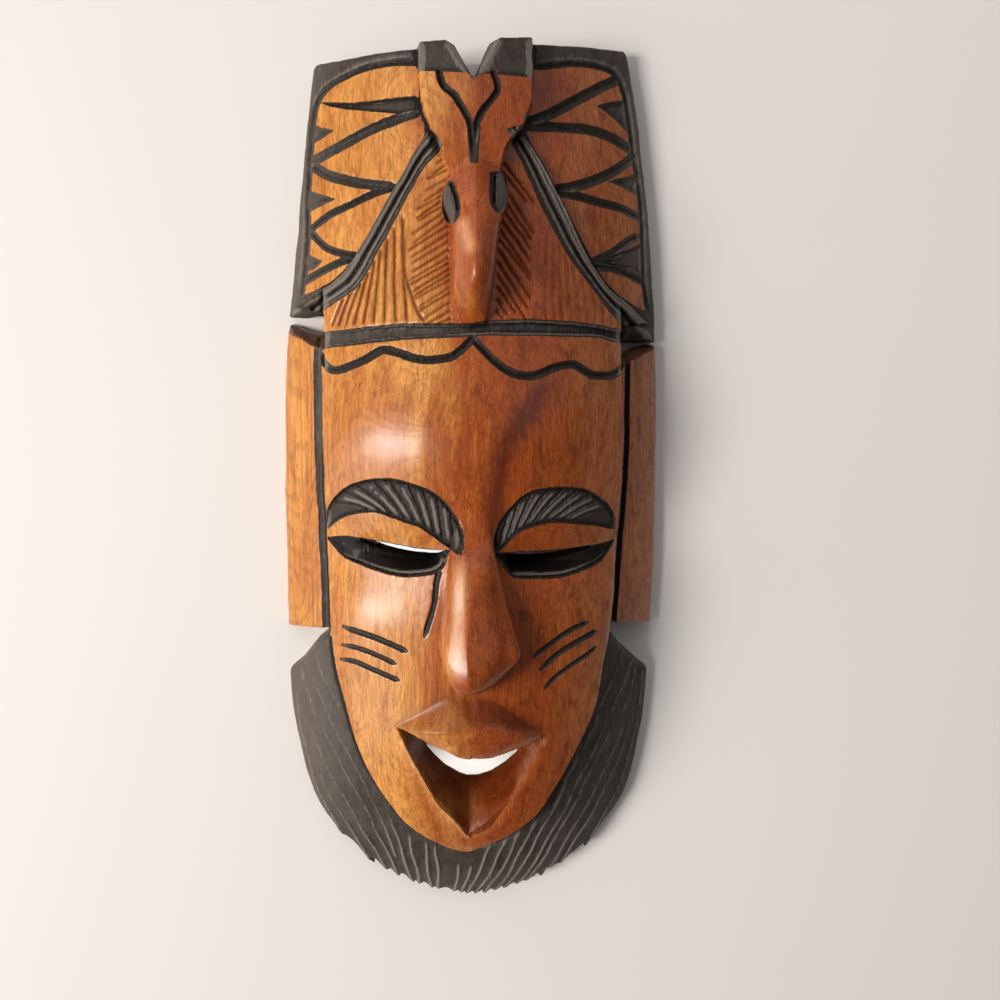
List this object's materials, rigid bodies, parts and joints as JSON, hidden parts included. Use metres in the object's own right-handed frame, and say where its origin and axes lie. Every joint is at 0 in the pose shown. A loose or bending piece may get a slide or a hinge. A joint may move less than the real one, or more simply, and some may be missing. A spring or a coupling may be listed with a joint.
{
  "type": "african mask",
  "caption": "Carved wooden wall mask: long face with slit eyes, open mouth and beard under a headdress board with a horned animal's head, hollow behind.",
  "frame": {"origin": "middle of the mask's box at the height of its flat back rim, which lies on the surface", "axes": "+X to the viewer's right, +Y up the mask towards the horns, +Z out of the face"},
  "size_m": [0.2567, 0.5901, 0.1141],
  "materials": {
    "varnished_wood": "satin varnish over red-brown hardwood, with black-stained lines, border, brows and beard"
  },
  "bodies": {
    "root": {"mask": "varnished_wood"}
  },
  "joints": []
}
